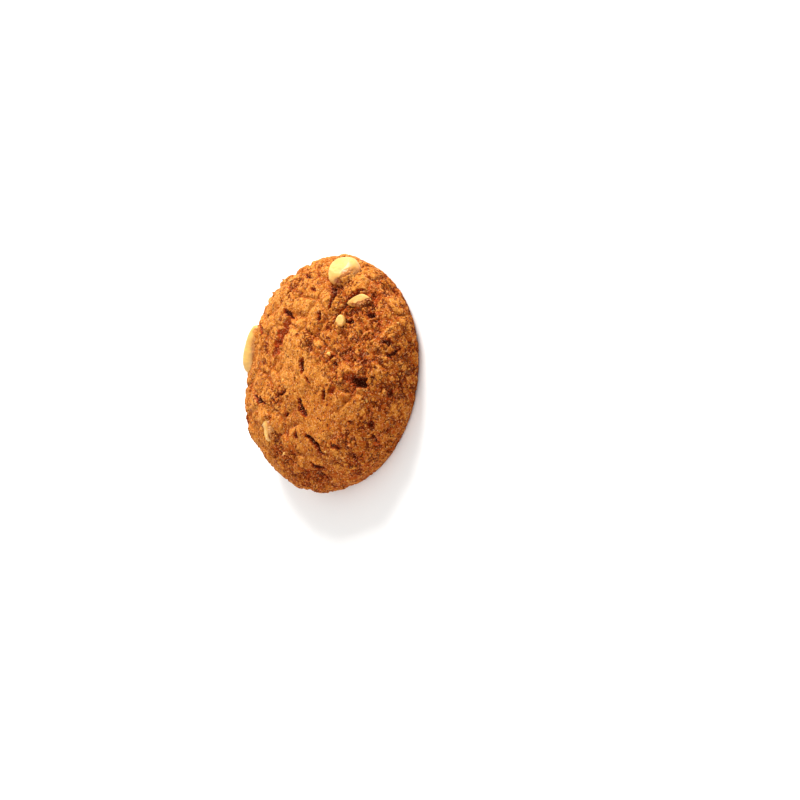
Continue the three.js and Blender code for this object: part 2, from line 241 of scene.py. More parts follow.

# The base: the spacing of its mesh, the dimples where the dough bridged the tray, and its tone. Each row of
# dimples: size, depth, and the noise at which one begins and at which it is deepest.
BASE_MESH = 0.75
BASE_DIMPLES = ((1.6, 0.16, 0.05, 0.7), (6, 0.08, 0, 0.6))
BASE_TONE = 0.45

# The photograph's view: degrees from straight down, degrees turned, and in millimetres how wide a field it
# takes in at the biscuit, how far off it is, how high it aims and its sensor. Then where in the photograph,
# in pixels, that aim shows.
VIEW = {"from_plumb": 51.2, "turned": 82.43, "field": 254.3, "distance": 450, "aim_height": 8, "sensor": 36}
PHOTO_SIDE = 800
AIM_IN_PHOTO = (323.4, 372.4)

# The studio. The board's half side is in metres, and it lies below the base by its gap in millimetres. Each
# lamp: the way to it, how far off it is and how wide, both in metres, and its watts.
BOARD = {"half_side": 2.0, "gap": 0.02}
LAMPS = {
    "key": ((0.82, 0.25, 0.47), 0.8, 0.3, 10.6),
    "fill": ((-0.8, -0.1, 0.6), 1.0, 0.7, 3.6),
}
SKY_STRENGTH = 0.8


# ------------------------------------------------------------------------------------------- properties
def srgb(code):
    """A colour written as sRGB hex, as the linear red, green and blue that Blender works in."""
    parts = [int(code[n : n + 2], 16) / 255 for n in (1, 3, 5)]
    return tuple(c / 12.92 if c <= 0.04045 else ((c + 0.055) / 1.055) ** 2.4 for c in parts)


def length(name, description, default, top):
    return bpy.props.FloatProperty(
        name=name, description=description, default=default, min=0, max=top, unit="LENGTH", precision=4
    )


def colour(name, description, code):
    return bpy.props.FloatVectorProperty(
        name=name, description=description, default=srgb(code), size=3, min=0, max=1, subtype="COLOR"
    )


class BiscuitSizes(bpy.types.PropertyGroup):
    diameter: length("Diameter", "Across the widest ring", 0.075, 0.2)
    crown: length("Crown height", "Top of the plain dome above the table", 0.0205, 0.06)
    base_inset: length("Base inset", "How far the flat base stops inside the widest ring", 0.002, 0.01)
    nose_share: bpy.props.FloatProperty(
        name="Nose height", description="Height of the widest ring over the crown height",
        default=0.3, min=0.1, max=0.6
    )
    dome_power: bpy.props.FloatProperty(
        name="Dome bluntness", description="2 is an elliptical dome, more is blunter",
        default=2.3, min=1.5, max=4
    )
    crust_grain: length("Crust mesh", "Spacing of the mesh over the dome", 0.00031, 0.002)
    crumb: length("Crumb size", "Width of the crumbs that the crust is made of", 0.0014, 0.01)
    crumb_height: length("Crumb height", "How far the crumbs stand up", 0.0004, 0.003)
    stuck_crumbs: bpy.props.IntProperty(
        name="Stuck crumbs", description="How many crumbs sit on the crust", default=90, min=0, max=1500
    )


class BiscuitColours(bpy.types.PropertyGroup):
    # The golden and pale colours go where the tone is high, on what stands proud, as partly painted light
    golden: colour("Golden crust", "The crust where it stands proud", "#c87c2c")
    brown: colour("Brown crust", "The crust in its darker patches", "#a2500f")
    pale_crumb: colour("Pale crumb", "The lightest of the crumbs", "#e4aa5c")
    # painted highlight: the pale glints that a fine noise scatters over the crust
    painted_glint: colour("Crumb faces", "The smallest faces of broken crumb, which catch the light", "#eeb07a")
    # painted shade, with redder dough: the crust low in cracks and holes, darkest at the bottom of the
    # deepest
    recess_shade: colour("Recess", "The dough low in the cracks", "#a03808")
    deep_recess_shade: colour("Deep recess", "The bottom of the deepest holes", "#481206")
    # painted shade: the colour that darkens the splits and flecks too fine for the mesh
    split: colour("Splits", "The dough inside the thin splits between crumbs", "#6e2608")
    tray_side: colour("Base", "What the tray's heat leaves of the crust's colour underneath", "#d8b090")
    nut: colour("Cashew", "The smooth outside of the nut", "#e6b057")
    nut_toasted: colour("Toasted cashew", "The nut where the oven has coloured it", "#d08c38")
    floor: colour("Floor", "The studio floor", "#f4f3f1")


# ------------------------------------------------------------------------------------------------ noise
def lattice(i, j, k, seed):
    """A repeatable number from 0 to 1 for each point of the whole-number lattice."""
    mixed = np.full(np.shape(i) or 1, seed * LATTICE_PRIMES[3] % 2**32, dtype=np.uint32)
    for whole, prime in zip((i, j, k), LATTICE_PRIMES):
        mixed = mixed + np.asarray(whole).astype(np.uint32) * np.array([prime], dtype=np.uint32)
    mixed = (mixed ^ (mixed >> 13)) * 1103515245
    mixed = (mixed ^ (mixed >> 15)) * 668265263
    mixed = (mixed ^ (mixed >> 16)) / 2**32
    return mixed if np.ndim(i) else float(mixed[0])


def noise(points, seed):
    """Smooth noise from -1 to 1 whose swells are one unit wide."""
    whole = np.floor(points).astype(np.int64)
    part = points - whole
    part = part * part * (3 - 2 * part)
    total = 0
    for corner in itertools.product((0, 1), repeat=3):
        weight = np.where(corner, part, 1 - part).prod(axis=1)
        total = total + weight * lattice(*(whole + corner).T, seed)
    return 2 * total - 1


def cells(points, seed):
    """Distances to the nearest and second nearest of points scattered one to each unit cell, and a repeatable
    number from 0 to 1 that belongs to the nearest."""
    home = np.floor(points).astype(np.int64)
    near, second, tag = np.full(len(points), 9.0), np.full(len(points), 9.0), np.zeros(len(points))
    for step in itertools.product((-1, 0, 1), repeat=3):
        cell = (home + step).T
        spot = np.stack([cell[axis] + lattice(*cell, seed + axis) for axis in range(3)], axis=1)
        away = np.linalg.norm(spot - points, axis=1)
        closer = away < near
        second = np.where(closer, near, np.minimum(second, away))
        tag = np.where(closer, lattice(*cell, seed + 3), tag)
        near = np.where(closer, away, near)
    return near, second, tag


def smoothstep(value, low, high):
    t = np.clip((value - low) / (high - low), 0, 1)
    return t * t * (3 - 2 * t)


# -------------------------------------------------------------------------------------- the plain form
def dome_at(sizes, x, y):
    """The point of the plain dome over x, y, and the way out of it, in millimetres."""
    radius, crown, power = sizes.diameter / MM / 2, sizes.crown / MM, sizes.dome_power
    nose = sizes.nose_share * crown
    share = min(math.hypot(x, y) / radius, 0.999)
    rise = 1 - share**power
    away = math.atan2(y, x)
    level = share ** (power - 1) / radius
    up = rise ** (1 - 1 / power) / (crown - nose)
    outward = np.array([math.cos(away) * level, math.sin(away) * level, up])
    return np.array([x, y, nose + (crown - nose) * rise ** (1 / power)]), outward / np.linalg.norm(outward)


def section(sizes, count=4000):
    """The plain section from the crown round the nose to the foot, as radii and heights in millimetres."""
    radius, crown, power = sizes.diameter / MM / 2, sizes.crown / MM, sizes.dome_power
    nose = sizes.nose_share * crown
    t = np.linspace(0, 1, count)
    a = np.clip(t / DOME_SHARE, 0, 1) * math.pi / 2
    b = np.clip((t - DOME_SHARE) / (1 - DOME_SHARE), 0, 1) * math.pi / 2
    on_dome = t <= DOME_SHARE
    r = np.where(on_dome, radius * np.sin(a) ** (2 / power), radius - sizes.base_inset / MM * (1 - np.cos(b)))
    dome = nose + (crown - nose) * np.maximum(np.cos(a), 0) ** (2 / power)
    return r, np.where(on_dome, dome, nose * (1 - np.sin(b)))


def plain_rings(sizes):
    """Rings of evenly spaced points down the section and in to the middle of the base. Gives the points, the
    way out at each, which are on the base, and the triangles between them."""
    r, z = section(sizes)
    grain = sizes.crust_grain / MM
    nose = sizes.nose_share * sizes.crown / MM
    spacing = grain * (1 + 0.7 * (1 - smoothstep(z, 0, nose)))
    run = np.concatenate([[0], np.cumsum(np.hypot(np.diff(r), np.diff(z)))])
    out = np.stack([-np.gradient(z), np.gradient(r)], axis=1)
    out /= np.linalg.norm(out, axis=1)[:, None]
    out[0] = (0, 1)
    rows = [(0, z[0], out[0], 1, False)]
    last = 0
    for n in range(1, len(r)):
        if run[n] - run[last] >= spacing[n] * math.sqrt(3) / 2:
            rows.append((r[n], z[n], out[n], spacing[n], False))
            last = n
    base_edge = sizes.diameter / MM / 2 - sizes.base_inset / MM
    for ring in np.arange(base_edge, BASE_MESH / 2, -BASE_MESH):
        rows.append((ring, 0, np.array([0, -1]), BASE_MESH, True))
    rows.append((0, 0, np.array([0, -1]), 1, True))

    points, ways, on_base, rings = [], [], [], []
    start = 0
    for n, (ring, height, way, step, base) in enumerate(rows):
        count = max(1, round(2 * math.pi * ring / step))
        away = (np.arange(count) + lattice(n, 0, 0, SEEDS["ring_start"])) / count * 2 * math.pi
        turn = np.stack([np.cos(away), np.sin(away)], axis=1)
        points.append(np.column_stack([turn * ring, np.full(count, height)]))
        ways.append(np.column_stack([turn * way[0], np.full(count, way[1])]))
        on_base.append(np.full(count, base))
        rings.append(np.arange(start, start + count))
        start += count
    faces = np.concatenate([band(upper, lower) for upper, lower in itertools.pairwise(rings)])
    return np.concatenate(points), np.concatenate(ways), np.concatenate(on_base), faces


def band(upper, lower):
    """Triangles between two rings of points, given by their numbers. A ring of one point is a tip."""
    n, m = len(upper), len(lower)
    ends = np.concatenate([np.arange(1, n + 1) / n, np.arange(1, m + 1) / m])
    on_upper = np.argsort(ends, kind="stable") < n
    i = np.cumsum(on_upper) - on_upper
    j = np.cumsum(~on_upper) - ~on_upper
    third = np.where(on_upper, upper[(i + 1) % n], lower[(j + 1) % m])
    faces = np.stack([upper[i % n], lower[j % m], third], axis=1)
    return faces[np.where(on_upper, n > 1, m > 1)]


# --------------------------------------------------------------------------------------------- the crust
def low_relief(sizes, p):
    """The relief that the solid has too: swells, lumps, baked plates with seams between them, and knobs.
    Gives its height, and how far each point is in a seam."""
    near, second, tag = cells(p / PLATE["size"], SEEDS["plate"])
    across = (second - near) * PLATE["size"] / PLATE["seam_half_width"]
    seam = np.exp(-(across**2)) * smoothstep(noise(p / SEAM_PATCH, SEEDS["patch"]), -0.5, 0.3)
    height = SWELL["height"] * noise(p / SWELL["size"], SEEDS["swell"])
    height += LUMP["height"] * noise(p / LUMP["size"], SEEDS["lump"])
    height += PLATE["height"] * (2 * tag - 1) * (1 - np.exp(-(across**2) / 4))
    height -= PLATE["seam_depth"] * seam
    return height + KNOB["height"] * (0.5 - cells(p / KNOB["size"], SEEDS["knob"])[0]), seam


def round_nuts(sizes, p, height):
    """The height of the crust once the dough has crept up round the nuts and lapped over them."""
    for nut in NUTS.values():
        middle, outward = dome_at(sizes, *nut["at"])
        away = p - middle
        beyond = (np.linalg.norm(away, axis=1) - sum(nut["half"][:2]) / 2) / CREEP_WIDTH
        height = height + nut["creep"] * np.exp(-(beyond**2))
        ahead, side = lie_along(outward, nut["heading"])
        long, wide, thick = nut["half"]
        reach = np.hypot(away @ ahead / long, away @ side / wide)
        over = thick * np.sqrt(np.clip(1 - reach**2, 0, 1)) - nut["sink"]
        turn, start, _ = nut["crusted"]
        turn = math.radians(turn)
        stray = LAP["stray"] * noise(p / LAP["stray_size"], SEEDS["nut_skin"])
        along = away @ (math.cos(turn), math.sin(turn), 0) + stray
        lap = smoothstep(along, start, start + LAP["run"]) * (reach < 1)
        height = np.maximum(height, height + lap * (over + LAP["above"] - height))
    return height


def frayed(p, size, amount):
    """The points pushed about at random, so that what is measured from them has an uneven edge."""
    pushes = [noise(p / size, SEEDS["warp"] + axis) for axis in range(3)]
    return p + amount * np.stack(pushes, axis=1)


def crack_line(sizes, row, seed):
    """The stations of a crack on the plain dome and how full the crack is at each."""
    x, y, heading, run, bend, _, _ = row
    steps = max(3, math.floor(run / CRACK_STRIDE + 0.5))
    line, fullness = [], []
    for n in range(steps + 1):
        t = n / steps
        turn = math.radians(heading + bend * t)
        point, outward = dome_at(sizes, x, y)
        across = np.cross((math.cos(turn), math.sin(turn), 0), outward)
        stray = CRACK_WANDER * (2 * lattice(n, seed, 0, SEEDS["wander"]) - 1)
        line.append(point + across / np.linalg.norm(across) * stray)
        fullness.append(math.sin(math.pi * t) ** 0.6 * (0.7 + 0.5 * lattice(n, seed, 1, SEEDS["wander"])))
        x += run / steps * math.cos(turn)
        y += run / steps * math.sin(turn)
    return np.array(line), np.array(fullness)


def cracks(sizes, p):
    """How deep the cracks are at each point, how much their lips stand up, and how little light gets in."""
    depth, lip, dark = np.zeros(len(p)), np.zeros(len(p)), np.zeros(len(p))
    edge = p
    for size, amount in CRACK_FRAYS:
        edge = frayed(edge, size, amount)
    swing = smoothstep(noise(p / CRACK_WIDTH["size"], SEEDS["crack_width"]), -0.6, 0.6)
    openness = CRACK_WIDTH["least"] + CRACK_WIDTH["swing"] * swing
    for seed, row in enumerate((CRACKS | HAIR_CRACKS).values()):
        line, fullness = crack_line(sizes, row, seed)
        half_width, deepest = row[5:]
        close = np.linalg.norm(p - line.mean(axis=0), axis=1) < row[3] / 2 + 4
        q = edge[close]
        best, full = np.full(len(q), 99.0), np.zeros(len(q))
        for n in range(len(line) - 1):
            run = line[n + 1] - line[n]
            t = np.clip((q - line[n]) @ run / (run @ run), 0, 1)
            away = np.linalg.norm(q - line[n] - t[:, None] * run, axis=1)
            closer = away < best
            best = np.where(closer, away, best)
            full = np.where(closer, fullness[n] + t * (fullness[n + 1] - fullness[n]), full)
        full = np.maximum(full, 0.05)
        inside = np.clip(1 - best / (half_width * np.minimum(full, 1.1) * openness[close]), 0, 1)
        here = deepest * full * inside**0.5
        depth[close] = np.maximum(depth[close], here)
        dark[close] = np.maximum(dark[close], smoothstep(here, 0.1, 0.5) * min(1, deepest / half_width / 1.1))
        beyond = (best - half_width * full - LIP["away"]) / LIP["half_width"]
        lip[close] = np.maximum(lip[close], LIP["height"] * full * np.exp(-(beyond**2)))
    return depth, lip, dark


def pits(sizes, p):
    """How deep the holes are at each point."""
    depth = np.zeros(len(p))
    edge = frayed(p, *PIT_FRAY)
    for x, y, heading, half_length, half_width, deepest in PITS.values():
        middle, outward = dome_at(sizes, x, y)
        ahead, side = lie_along(outward, heading)
        away = edge - middle
        reach = np.hypot(away @ ahead / half_length, away @ side / half_width)
        reach = np.where(np.abs(away @ outward) < 6, reach, 9)
        depth = np.maximum(depth, deepest * np.sqrt(np.clip(1 - reach**2, 0, 1)))
    return depth


def lie_along(outward, heading):
    """The two level ways, ahead and to the side, of what lies on a slope facing outward."""
    turn = math.radians(heading)
    side = np.cross(outward, (math.cos(turn), math.sin(turn), 0))
    side /= np.linalg.norm(side)
    return np.cross(side, outward), side


def open_patches(p):
    """How open the crumb is at each point, from 0 to 1."""
    patch = noise(p / ROUGH["size"], SEEDS["rough_patch"]) - ROUGH["toward_front"] * p[:, 1]
    return smoothstep(patch, -0.5, 0.5)


def crumb_relief(sizes, p):
    """The fine relief of the crust, how open it is cut, which the material darkens as painted shade, and a
    number for each crumb.
    """
    grain, height = sizes.crumb / MM, sizes.crumb_height / MM
    open_patch = open_patches(p)
    rough = height * (ROUGH["least"] + (ROUGH["most"] - ROUGH["least"]) * open_patch)
    relief, cut, tags = np.zeros(len(p)), np.zeros(len(p)), {}
    for name, (share, lump, crevice, half_width, open_share) in CRUMBS.items():
        size = share * grain
        pushed = frayed(frayed(p, size / 2, size * 0.16), size, size * 0.3)
        near, second, tags[name] = cells(pushed / size, SEEDS[name])
        gap = (second - near) * size / half_width
        patch = 0.5 + 0.5 * noise(p / (size * 1.7), SEEDS[name] + 5)
        closed = 1 - open_share * (0.3 + 0.8 * open_patch)
        split = np.exp(-(gap**2)) * smoothstep(patch, closed - 0.2, closed + 0.2)
        relief += rough * (lump * (0.5 - near) - crevice * split)
        cut = np.maximum(cut, split * min(1, crevice))
    hole, _, rare = cells(frayed(p, *PORE_FRAY) / PORES["size"], SEEDS["pore"])
    rarity = (rare - 1 + PORES["share"]) / PORES["share"]
    wide = PORES["radius"] / PORES["size"] * (0.5 + 0.5 * np.maximum(rarity, 0))
    pore = np.where(rarity > 0, np.sqrt(np.clip(1 - (hole / wide) ** 2, 0, 1)), 0)
    return relief - PORES["depth"] * pore, np.maximum(cut, pore), tags["crumb"]


def crust(sizes):
    """The dough's mesh in millimetres. Its marks are each point's tone, which holds painted light and shade,
    how far it is in the splits, which the material darkens as painted shade, how open the crumb is there,
    which crumb it is in, and how much of the tray's heat it had."""
    p, way, on_base, faces = plain_rings(sizes)
    side = ~on_base
    dome = p[side]
    low, _ = low_relief(sizes, dome)
    low = round_nuts(sizes, dome, low)
    _, seam = low_relief(sizes, frayed(dome, *SEAM_FRAY))
    fine, cut, tag = crumb_relief(sizes, dome)
    crack, lip, dark = cracks(sizes, dome)
    pit = pits(sizes, dome)
    hollow = np.maximum(crack, pit)
    calm = smoothstep(dome[:, 2], 0, SMOOTH_FOOT)
    calm_fine = 0.5 + 0.5 * smoothstep(dome[:, 2], 0, 1.5)
    fine *= 1 - HOLLOW_CALM * smoothstep(hollow, 0.2, 1.2)
    height = calm * (low + lip - hollow) + calm_fine * fine
    p[side] = dome + way[side] * height[:, None]
    base = p[on_base]
    dimples = [
        depth * smoothstep(noise(base / size, SEEDS["base_pore"] + n), begins, deepest)
        for n, (size, depth, begins, deepest) in enumerate(BASE_DIMPLES)
    ]
    p[on_base, 2] = sum(dimples)
    p[:, 2] = np.maximum(p[:, 2], 0)
    marks = {name: np.zeros(len(p)) for name in ("tone", "split", "open", "crumb", "tray")}
    # Painted shade and light: darker in cracks, holes, seams and between crumbs, lighter where they stand
    # proud
    torn = {"dark_crack": dark, "crack": crack, "pit": pit, "seam": smoothstep(seam, 0.5, 1)}
    tone = LEVEL_TONE + dome @ LIT_SIDE_TONE_PER_MM + TONE_OF["fine"] * fine + TONE_OF["low"] * low
    tone += calm * sum(TONE_OF[name] * amount for name, amount in torn.items())
    marks["tone"][side] = np.clip(tone, -0.6, 1)
    marks["split"][side] = cut
    marks["open"][side] = open_patches(dome)
    # painted shade: the base is darker the deeper its dimple
    marks["tone"][on_base] = BASE_TONE + 1.2 * (0.06 - dimples[0])
    marks["crumb"][side] = tag
    marks["crumb"][on_base] = 0.5 + 0.5 * noise(base / 2.4, SEEDS["base_pore"] + 2)
    marks["tray"][on_base] = 1
    marks["tray"][side] = 0.5 * (1 - smoothstep(dome[:, 2], 0.1, 1.5))
    return p, faces, marks


# ---------------------------------------------------------------------------------------------- meshes
def new_piece(name, points, faces, marks, material, replaced=()):
    """A piece of the biscuit from points in millimetres and triangles, on the body that carries it."""
    mesh = bpy.data.meshes.new(name)
    mesh.from_pydata((points * MM).tolist(), [], faces.tolist())
    if mesh.validate():
        raise RuntimeError(f"{name}: the mesh had faces that aren't whole")
    for mark, values in marks.items():
        mesh.attributes.new(mark, "FLOAT", "POINT").data.foreach_set("value", values.astype(np.float32))
    mesh.polygons.foreach_set("use_smooth", np.ones(len(faces), dtype=bool))
    mesh.materials.append(material)
    piece = bpy.data.objects.new(name, mesh)
    bpy.context.collection.objects.link(piece)
    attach(piece, "root")
    if replaced:
        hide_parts(*replaced)
    return piece


def ball(subdivisions):
    """A geodesic ball of radius 1 as points and triangles."""
    mesh = bmesh.new()
    bmesh.ops.create_icosphere(mesh, subdivisions=subdivisions, radius=1)
    points = np.array([v.co for v in mesh.verts])
    faces = np.array([[v.index for v in f.verts] for f in mesh.faces])
    mesh.free()
    return points / np.linalg.norm(points, axis=1)[:, None], faces


def broken_nut(sizes, nut, seed, subdivisions):
    """A piece of cashew as the solid has it, with a finer skin, how broken its faces are and how smeared."""
    way, faces = ball(subdivisions)
    half = np.array(nut["half"])
    p = way * half * (1 + NUT_UNEVEN * noise(way * 1.3 + 7 * seed, SEEDS["uneven"]))[:, None]
    broken = np.zeros(len(p))
    for *facing, share in nut["breaks"]:
        facing = np.array(facing) / np.linalg.norm(facing)
        over = np.maximum(p @ facing - np.linalg.norm(facing * half) * share, 0)
        p -= 0.92 * over[:, None] * facing
        broken = np.maximum(broken, smoothstep(over, 0.05, 0.5))
    (wave, wave_rise), (grain, grain_rise), (torn, torn_rise) = NUT_SKIN.values()
    skin = wave_rise * noise(p / wave + 9 * seed, SEEDS["nut_skin"])
    skin += grain_rise * noise(p / grain, SEEDS["nut_skin"] + 1)
    skin += broken * torn_rise * noise(p / torn, SEEDS["nut_skin"] + 2)
    p += way * skin[:, None]
    tilt = math.radians(nut["tilt"])
    lean = np.array([[1, 0, 0], [0, math.cos(tilt), -math.sin(tilt)], [0, math.sin(tilt), math.cos(tilt)]])
    p = p @ lean.T
    middle, outward = dome_at(sizes, *nut["at"])
    ahead, side = lie_along(outward, nut["heading"])
    p = middle - nut["sink"] * outward + p @ np.stack([ahead, side, outward])
    turn, start, browned = nut["crusted"]
    turn = math.radians(turn)
    along = (p - middle) @ (math.cos(turn), math.sin(turn), 0) + 0.8 * noise(p / 1.5, SEEDS["nut_skin"] + 3)
    smear = smoothstep(along, start - browned, start)
    fine, _, tag = crumb_relief(sizes, p)
    from_middle = p - middle + nut["sink"] * outward
    coat = 0.7 * fine * smoothstep(smear, 0.75, 0.95)
    p += from_middle / np.linalg.norm(from_middle, axis=1)[:, None] * coat[:, None]
    # The coat's tone is lighter where its crumb stands proud, painted light as on the crust
    return p, faces, {"broken": broken, "smear": smear, "tone": 0.62 + 0.4 * fine, "crumb": tag}


def pebbles(places, outward, reach, rise, seed):
    """Small rough lumps joined in one mesh. reach is half of each one's size, and rise is how far its middle
    is out of the crust over that."""
    way, faces = ball(2)
    stretch = 0.7 + 0.6 * np.stack([lattice(np.arange(len(places)), n, 0, seed) for n in range(3)], axis=1)
    dents = np.stack([noise(way * 1.4 + 5.3 * n, seed) for n in range(len(places))])
    lumps = way[None] * stretch[:, None] * (reach[:, None] * (1 + 0.45 * dents))[:, :, None]
    points = (places + outward * rise * reach[:, None])[:, None] + lumps
    all_faces = faces[None] + np.arange(len(places))[:, None, None] * len(way)
    return points.reshape(-1, 3), all_faces.reshape(-1, 3)


# ------------------------------------------------------------------------------------------- materials
def add_node(tree, kind, inputs=None, **settings):
    """Adds a node with its settings. inputs gives each input a value, or the output that feeds it."""
    made = tree.nodes.new(kind)
    for name, value in settings.items():
        setattr(made, name, value)
    for name, value in (inputs or {}).items():
        if isinstance(value, bpy.types.NodeSocket):
            tree.links.new(value, made.inputs[name])
        else:
            made.inputs[name].default_value = value
    return made


def bare_material(name):
    material = bpy.data.materials.new(name)
    material.use_nodes = True
    material.node_tree.nodes.clear()
    tree = material.node_tree
    shader = add_node(tree, "ShaderNodeBsdfPrincipled")
    add_node(tree, "ShaderNodeOutputMaterial", {"Surface": shader.outputs[0]})
    return material, tree, shader


def per_mm(size):
    """The scale of a pattern whose repeat is this many millimetres, for coordinates in metres."""
    return 1 / (size * MM)


def crust_tones(tree, colours, place, tone, crumb):
    """The colour of the crust: from deep red-brown where its tone is low and torn, which is painted shade, to
    golden where it stands proud, which is partly painted light. Gives the speckle in it too."""
    patch = add_node(tree, "ShaderNodeTexNoise", {"Vector": place, "Scale": per_mm(10), "Detail": 3})
    speckle = add_node(tree, "ShaderNodeTexNoise", {"Vector": place, "Scale": per_mm(0.5), "Detail": 2})
    shift = 0
    for varied, amount in ((patch.outputs["Fac"], 0.14), (speckle.outputs["Fac"], 1.0), (crumb, 0.25)):
        shifted = add_node(tree, "ShaderNodeMath", {
            0: varied, 1: amount, 2: -0.5 * amount}, operation="MULTIPLY_ADD")
        total = add_node(tree, "ShaderNodeMath", {0: shifted.outputs[0], 1: shift}, operation="ADD")
        shift = total.outputs[0]
    level = add_node(tree, "ShaderNodeMath", {0: tone, 1: shift}, operation="ADD").outputs[0]
    steps = (
        (-0.6, -0.15, colours.recess_shade),
        (-0.1, 0.3, colours.brown),
        (0.3, 0.58, colours.golden),
        (0.6, 0.95, colours.pale_crumb),
    )
    shade = add_node(tree, "ShaderNodeRGB")
    shade.outputs[0].default_value = (*colours.deep_recess_shade, 1)
    for low, high, tint in steps:
        part = add_node(tree, "ShaderNodeMapRange", {"Value": level, "From Min": low, "From Max": high})
        shade = add_node(tree, "ShaderNodeMixRGB", {
            "Fac": part.outputs[0], "Color1": shade.outputs[0], "Color2": (*tint, 1)})
    return shade.outputs[0], speckle.outputs["Fac"]


def fine_split_shade(tree, place):
    """The thinnest splits between crumbs, as lines that are 1 along their middles, where shade is painted.
    They come in patches.
    """
    push = add_node(tree, "ShaderNodeTexNoise", {"Vector": place, "Scale": per_mm(0.9), "Detail": 2})
    push = add_node(tree, "ShaderNodeVectorMath", {
        0: push.outputs["Color"], 1: (0.5, 0.5, 0.5)}, operation="SUBTRACT")
    pushed = add_node(tree, "ShaderNodeVectorMath", {
        0: push.outputs[0], 1: (0.9 * MM,) * 3, 2: place}, operation="MULTIPLY_ADD")
    found = 0
    for size, half_width, least, most in ((2.6, 0.25, 0.55, 0.6), (1.3, 0.18, 0.56, 0.62)):
        edge = add_node(tree, "ShaderNodeTexVoronoi", {
            "Vector": pushed.outputs[0], "Scale": per_mm(size)}, feature="DISTANCE_TO_EDGE")
        line = add_node(tree, "ShaderNodeMapRange", {
            "Value": edge.outputs["Distance"], "From Min": 0.3 * half_width / size,
            "From Max": half_width / size, "To Min": 1, "To Max": 0})
        patch = add_node(tree, "ShaderNodeTexNoise", {"Vector": place, "Scale": per_mm(size), "Detail": 1})
        shown = add_node(tree, "ShaderNodeMapRange", {
            "Value": patch.outputs["Fac"], "From Min": least, "From Max": most})
        part = add_node(tree, "ShaderNodeMath", {
            0: line.outputs[0], 1: shown.outputs[0]}, operation="MULTIPLY")
        most_split = add_node(tree, "ShaderNodeMath", {0: part.outputs[0], 1: found}, operation="MAXIMUM")
        found = most_split.outputs[0]
    return found


def baked_crust(colours):
    """Baked butter dough: an open, sandy crumb. It is matt, golden where it stands proud and redder and
    darker where it is torn and low, which is partly painted light and painted shade, with painted shade in
    its finest splits and small painted highlight glints of its palest colour."""
    material, tree, shader = bare_material("Baked dough crust")
    place = add_node(tree, "ShaderNodeTexCoord").outputs["Object"]
    mark = {name: add_node(tree, "ShaderNodeAttribute", attribute_name=name).outputs["Fac"]
            for name in ("tone", "split", "open", "crumb", "tray")}
    toned, speckle = crust_tones(tree, colours, place, mark["tone"], mark["crumb"])
    splits = fine_split_shade(tree, place)
    # Painted shade in the splits between crumbs and in small dark flecks too fine for the mesh, stronger
    # where open
    frayed_split = add_node(tree, "ShaderNodeMath", {
        0: speckle, 1: 0.5, 2: mark["split"]}, operation="MULTIPLY_ADD")
    sharp = add_node(tree, "ShaderNodeMapRange", {
        "Value": frayed_split.outputs[0], "From Min": 0.8, "From Max": 1.05})
    either = add_node(tree, "ShaderNodeMath", {0: splits, 1: sharp.outputs[0]}, operation="MAXIMUM")
    depth = add_node(tree, "ShaderNodeMapRange", {"Value": mark["open"], "To Min": 0.4, "To Max": 1.0})
    opened = add_node(tree, "ShaderNodeMath", {
        0: either.outputs[0], 1: depth.outputs[0]}, operation="MULTIPLY")
    hole = add_node(tree, "ShaderNodeTexNoise", {"Vector": place, "Scale": per_mm(1), "Detail": 1})
    shade_flecks = add_node(tree, "ShaderNodeMapRange", {
        "Value": hole.outputs["Fac"], "From Min": 0.65, "From Max": 0.69})
    deep = add_node(tree, "ShaderNodeMath", {
        0: opened.outputs[0], 1: shade_flecks.outputs[0]}, operation="MAXIMUM")
    shade = add_node(tree, "ShaderNodeMixRGB", {
        "Fac": deep.outputs[0], "Color1": toned, "Color2": (*colours.split, 1)}).outputs[0]
    # Painted highlight: small pale glints where a fine noise peaks
    grain = add_node(tree, "ShaderNodeTexNoise", {"Vector": place, "Scale": per_mm(0.45), "Detail": 1})
    glint_share = add_node(tree, "ShaderNodeMapRange", {
        "Value": grain.outputs["Fac"], "From Min": 0.58, "From Max": 0.7, "To Max": 0.55})
    shade = add_node(tree, "ShaderNodeMixRGB", {
        "Fac": glint_share.outputs[0], "Color1": shade, "Color2": (*colours.painted_glint, 1)}).outputs[0]
    tray = add_node(tree, "ShaderNodeMixRGB", {
        "Fac": mark["tray"], "Color1": shade, "Color2": (*colours.tray_side, 1)}, blend_type="MULTIPLY")
    tree.links.new(tray.outputs[0], shader.inputs["Base Color"])
    rough = add_node(tree, "ShaderNodeMapRange", {"Value": speckle, "To Min": 0.55, "To Max": 0.95})
    tree.links.new(rough.outputs[0], shader.inputs["Roughness"])
    fine = add_node(tree, "ShaderNodeTexNoise", {"Vector": place, "Scale": per_mm(0.4), "Detail": 3})
    raised = add_node(tree, "ShaderNodeMath", {
        0: deep.outputs[0], 1: -1, 2: fine.outputs["Fac"]}, operation="MULTIPLY_ADD")
    bump = add_node(tree, "ShaderNodeBump", {
        "Height": raised.outputs[0], "Strength": 1.0, "Distance": 0.3 * MM})
    tree.links.new(bump.outputs[0], shader.inputs["Normal"])
    shader.inputs["Specular IOR Level"].default_value = 0.06
    return material


